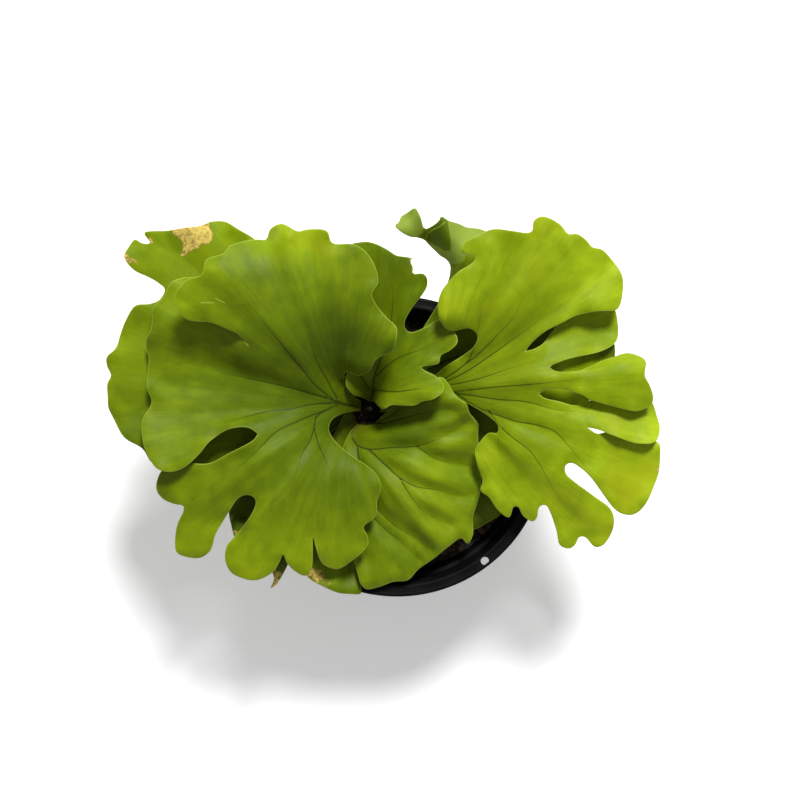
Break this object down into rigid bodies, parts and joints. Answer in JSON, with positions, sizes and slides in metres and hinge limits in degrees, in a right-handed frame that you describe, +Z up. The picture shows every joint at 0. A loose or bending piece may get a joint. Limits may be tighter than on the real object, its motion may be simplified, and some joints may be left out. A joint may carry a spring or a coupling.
{
  "type": "potted staghorn fern",
  "caption": "Potted staghorn fern: broad lobed fronds fanning from a low crown, over shield fronds, in a round black nursery pot with hanger holes in its rim.",
  "frame": {"origin": "centre of the pot's flat underside", "axes": "+Z up through the pot, +X towards the right front fan, along the plant's longest spread, +Y towards the back"},
  "size_m": [0.2806, 0.1999, 0.1875],
  "materials": {
    "pot_plastic": "black moulded plastic, satin, lightly scuffed",
    "bark_mix": "damp brown bark and coir mix, rough",
    "crown_fuzz": "dark brown fuzzy scales",
    "bud": "pale green down",
    "bark": "broken brown bark",
    "frond_leaf": "yellow-green leaf, soft sheen, fine dark veins, paler margin",
    "shield_leaf": "green leaf, pillowed between its veins, dry brown margin on the old ones"
  },
  "bodies": {
    "root": {"pot": "pot_plastic", "potting_mix": "bark_mix", "crown": "crown_fuzz", "new_bud": "bud", "bark_chip_1": "bark", "bark_chip_2": "bark", "bark_chip_3": "bark", "bark_chip_4": "bark", "bark_chip_5": "bark", "bark_chip_6": "bark", "bark_chip_7": "bark", "bark_chip_8": "bark", "frond_left_front": "frond_leaf", "frond_left_back": "frond_leaf", "frond_middle": "frond_leaf", "frond_right_front": "frond_leaf", "frond_right_back": "frond_leaf", "shield_front": "shield_leaf", "shield_left": "shield_leaf", "shield_right": "shield_leaf", "shield_old": "shield_leaf"}
  },
  "joints": []
}
